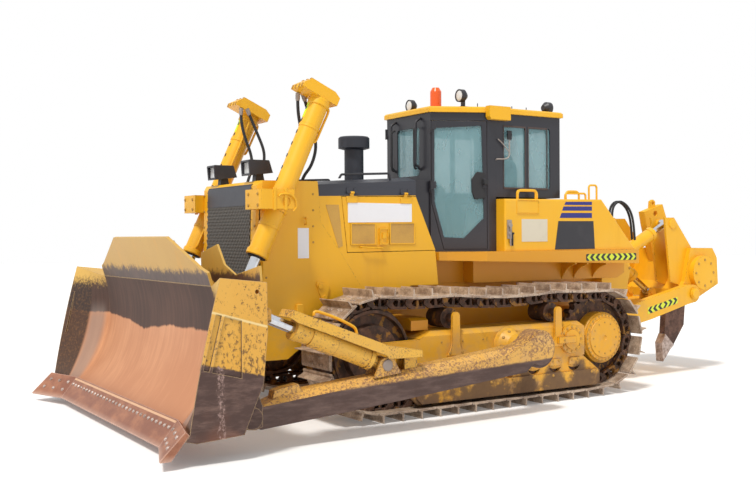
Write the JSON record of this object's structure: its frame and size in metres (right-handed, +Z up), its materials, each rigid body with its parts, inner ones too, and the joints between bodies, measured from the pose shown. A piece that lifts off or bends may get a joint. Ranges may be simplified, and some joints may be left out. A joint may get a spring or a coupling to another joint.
{
  "type": "bulldozer with ripper",
  "caption": "Track-type tractor with a curved front blade on push arms, an enclosed cab and a single-shank rear ripper; blade, ripper and doors move.",
  "frame": {"origin": "on the ground under the grouser tips, at the middle of the machine's length and width", "axes": "+X forward, towards the blade; +Y to the machine's left; +Z up"},
  "size_m": [8.348, 4.1, 3.525],
  "materials": {
    "body_paint": "worn warm yellow paint",
    "track_steel": "bare worn steel with dry soil",
    "dark_paint": "matt black paint",
    "worn_steel": "bare rusted steel, scraped",
    "edge_steel": "ground bright by soil",
    "cab_paint": "dark grey paint",
    "glass": "tinted",
    "exhaust_steel": "sooty",
    "seat_cover": "woven",
    "console_plastic": "grained",
    "beacon_lens": "clear orange",
    "chrome_rod": "polished"
  },
  "bodies": {
    "tractor": {"left_track": "track_steel", "right_track": "track_steel", "sprockets": "track_steel", "final_drives": "body_paint", "idlers": "track_steel", "track_rollers": "track_steel", "track_frames": "body_paint", "equalizer_bar": "body_paint", "pivot_shaft": "dark_paint", "main_frame": "body_paint", "decks": "body_paint", "side_tanks": "body_paint", "rear_tank": "body_paint", "grab_rails": "dark_paint", "radiator_guard": "body_paint", "radiator_grille": "dark_paint", "engine_hood": "body_paint", "left_hood_side": "body_paint", "right_hood_side": "body_paint", "hood_bulkhead": "body_paint", "engine_block": "dark_paint", "exhaust_stack": "exhaust_steel", "head_lamps": "dark_paint", "cowl": "cab_paint", "cab_shell": "cab_paint", "cab_glass": "glass", "cab_roof": "body_paint", "seat_base": "cab_paint", "operator_seat": "seat_cover", "control_console": "console_plastic", "beacon": "beacon_lens", "work_lamps": "dark_paint", "arm_trunnions": "body_paint", "lift_yokes": "body_paint", "ripper_bracket": "body_paint"},
    "push_arms": {"push_arms": "worn_steel", "tilt_guards": "body_paint"},
    "blade": {"moldboard": "worn_steel", "cutting_edge": "edge_steel", "end_bits": "edge_steel", "spill_guard": "body_paint"},
    "lift_tubes": {"lift_tubes": "body_paint"},
    "lift_rods": {"lift_rods": "chrome_rod"},
    "tilt_tubes": {"tilt_tubes": "body_paint"},
    "tilt_rods": {"tilt_rods": "chrome_rod"},
    "left_door": {"left_door": "cab_paint", "left_door_glass": "glass"},
    "right_door": {"right_door": "cab_paint", "right_door_glass": "glass"},
    "left_engine_door": {"left_engine_door": "body_paint"},
    "right_engine_door": {"right_engine_door": "body_paint"},
    "ripper_arms": {"ripper_arms": "body_paint"},
    "ripper_beam": {"ripper_beam": "body_paint", "ripper_shank": "worn_steel", "shank_tip": "edge_steel"},
    "ripper_lift_tubes": {"ripper_lift_tubes": "body_paint"},
    "ripper_lift_rods": {"ripper_lift_rods": "chrome_rod"},
    "ripper_tilt_cylinders": {"ripper_tilt_tubes": "body_paint", "ripper_tilt_rods": "chrome_rod"}
  },
  "joints": [
    {"name": "blade_lift", "type": "hinge", "parent": "tractor", "child": "push_arms", "pos_m": [0.084, 0, 0.665], "axis": [0, -1, 0], "range_deg": [-9, 16]},
    {"name": "blade_pitch", "type": "hinge", "parent": "push_arms", "child": "blade", "pos_m": [3.307, 0, 0.304], "axis": [0, -1, 0], "range_deg": [-4, 4]},
    {"name": "lift_swing", "type": "hinge", "parent": "tractor", "child": "lift_tubes", "pos_m": [2.514, 0, 2.15], "axis": [0, -1, 0], "range_deg": [-8.64, 15.21]},
    {"name": "lift_stroke", "type": "slide", "parent": "lift_tubes", "child": "lift_rods", "axis": [0.4165, 0, -0.9091], "range_m": [-0.7968, 0.4504]},
    {"name": "tilt_swing", "type": "hinge", "parent": "push_arms", "child": "tilt_tubes", "pos_m": [1.934, 0, 0.642], "axis": [0, -1, 0], "range_deg": [-0.77, 0.77]},
    {"name": "tilt_stroke", "type": "slide", "parent": "tilt_tubes", "child": "tilt_rods", "axis": [0.9243, 0, 0.3817], "range_m": [-0.0604, 0.0604]},
    {"name": "left_door_swing", "type": "hinge", "parent": "tractor", "child": "left_door", "pos_m": [0.45246, 0.4549, 2.3], "axis": [0, 0, -1], "range_deg": [0, 75]},
    {"name": "right_door_swing", "type": "hinge", "parent": "tractor", "child": "right_door", "pos_m": [0.45246, -0.4549, 2.3], "axis": [0, 0, 1], "range_deg": [0, 75]},
    {"name": "left_engine_door_swing", "type": "hinge", "parent": "tractor", "child": "left_engine_door", "pos_m": [1.234, 0.712, 2.264], "axis": [1, 0, 0], "range_deg": [0, 75]},
    {"name": "right_engine_door_swing", "type": "hinge", "parent": "tractor", "child": "right_engine_door", "pos_m": [1.234, -0.712, 2.264], "axis": [-1, 0, 0], "range_deg": [0, 75]},
    {"name": "ripper_lift", "type": "hinge", "parent": "tractor", "child": "ripper_arms", "pos_m": [-2.266, 0, 0.775], "axis": [0, 1, 0], "range_deg": [-19, 11]},
    {"name": "ripper_beam_turn", "type": "hinge", "parent": "ripper_arms", "child": "ripper_beam", "pos_m": [-3.534, 0, 1.045], "axis": [0, -1, 0], "range_deg": [-13.73, 8.03]},
    {"name": "ripper_lift_swing", "type": "hinge", "parent": "tractor", "child": "ripper_lift_tubes", "pos_m": [-2.546, 0, 1.566], "axis": [0, -1, 0], "range_deg": [-8.04, 13.74]},
    {"name": "ripper_lift_stroke", "type": "slide", "parent": "ripper_lift_tubes", "child": "ripper_lift_rods", "axis": [-0.8182, 0, -0.575], "range_m": [-0.1545, 0.2648]},
    {"name": "ripper_tilt_swing", "type": "hinge", "parent": "tractor", "child": "ripper_tilt_cylinders", "pos_m": [-2.546, 0, 1.566], "axis": [0, -1, 0], "range_deg": [-16.62, 28.56]}
  ],
  "couplings": [
    {"joint": "lift_swing", "follows": "blade_lift", "ratio": 0.9381},
    {"joint": "lift_stroke", "follows": "blade_lift", "m_per_rad": -2.8353},
    {"joint": "tilt_swing", "follows": "blade_pitch", "ratio": 0.1429},
    {"joint": "tilt_stroke", "follows": "blade_pitch", "m_per_rad": -0.8363},
    {"joint": "ripper_beam_turn", "follows": "ripper_lift", "ratio": 0.7121},
    {"joint": "ripper_lift_swing", "follows": "ripper_lift", "ratio": -0.7129},
    {"joint": "ripper_lift_stroke", "follows": "ripper_lift", "m_per_rad": -0.7894},
    {"joint": "ripper_tilt_swing", "follows": "ripper_lift", "ratio": -1.4926}
  ]
}
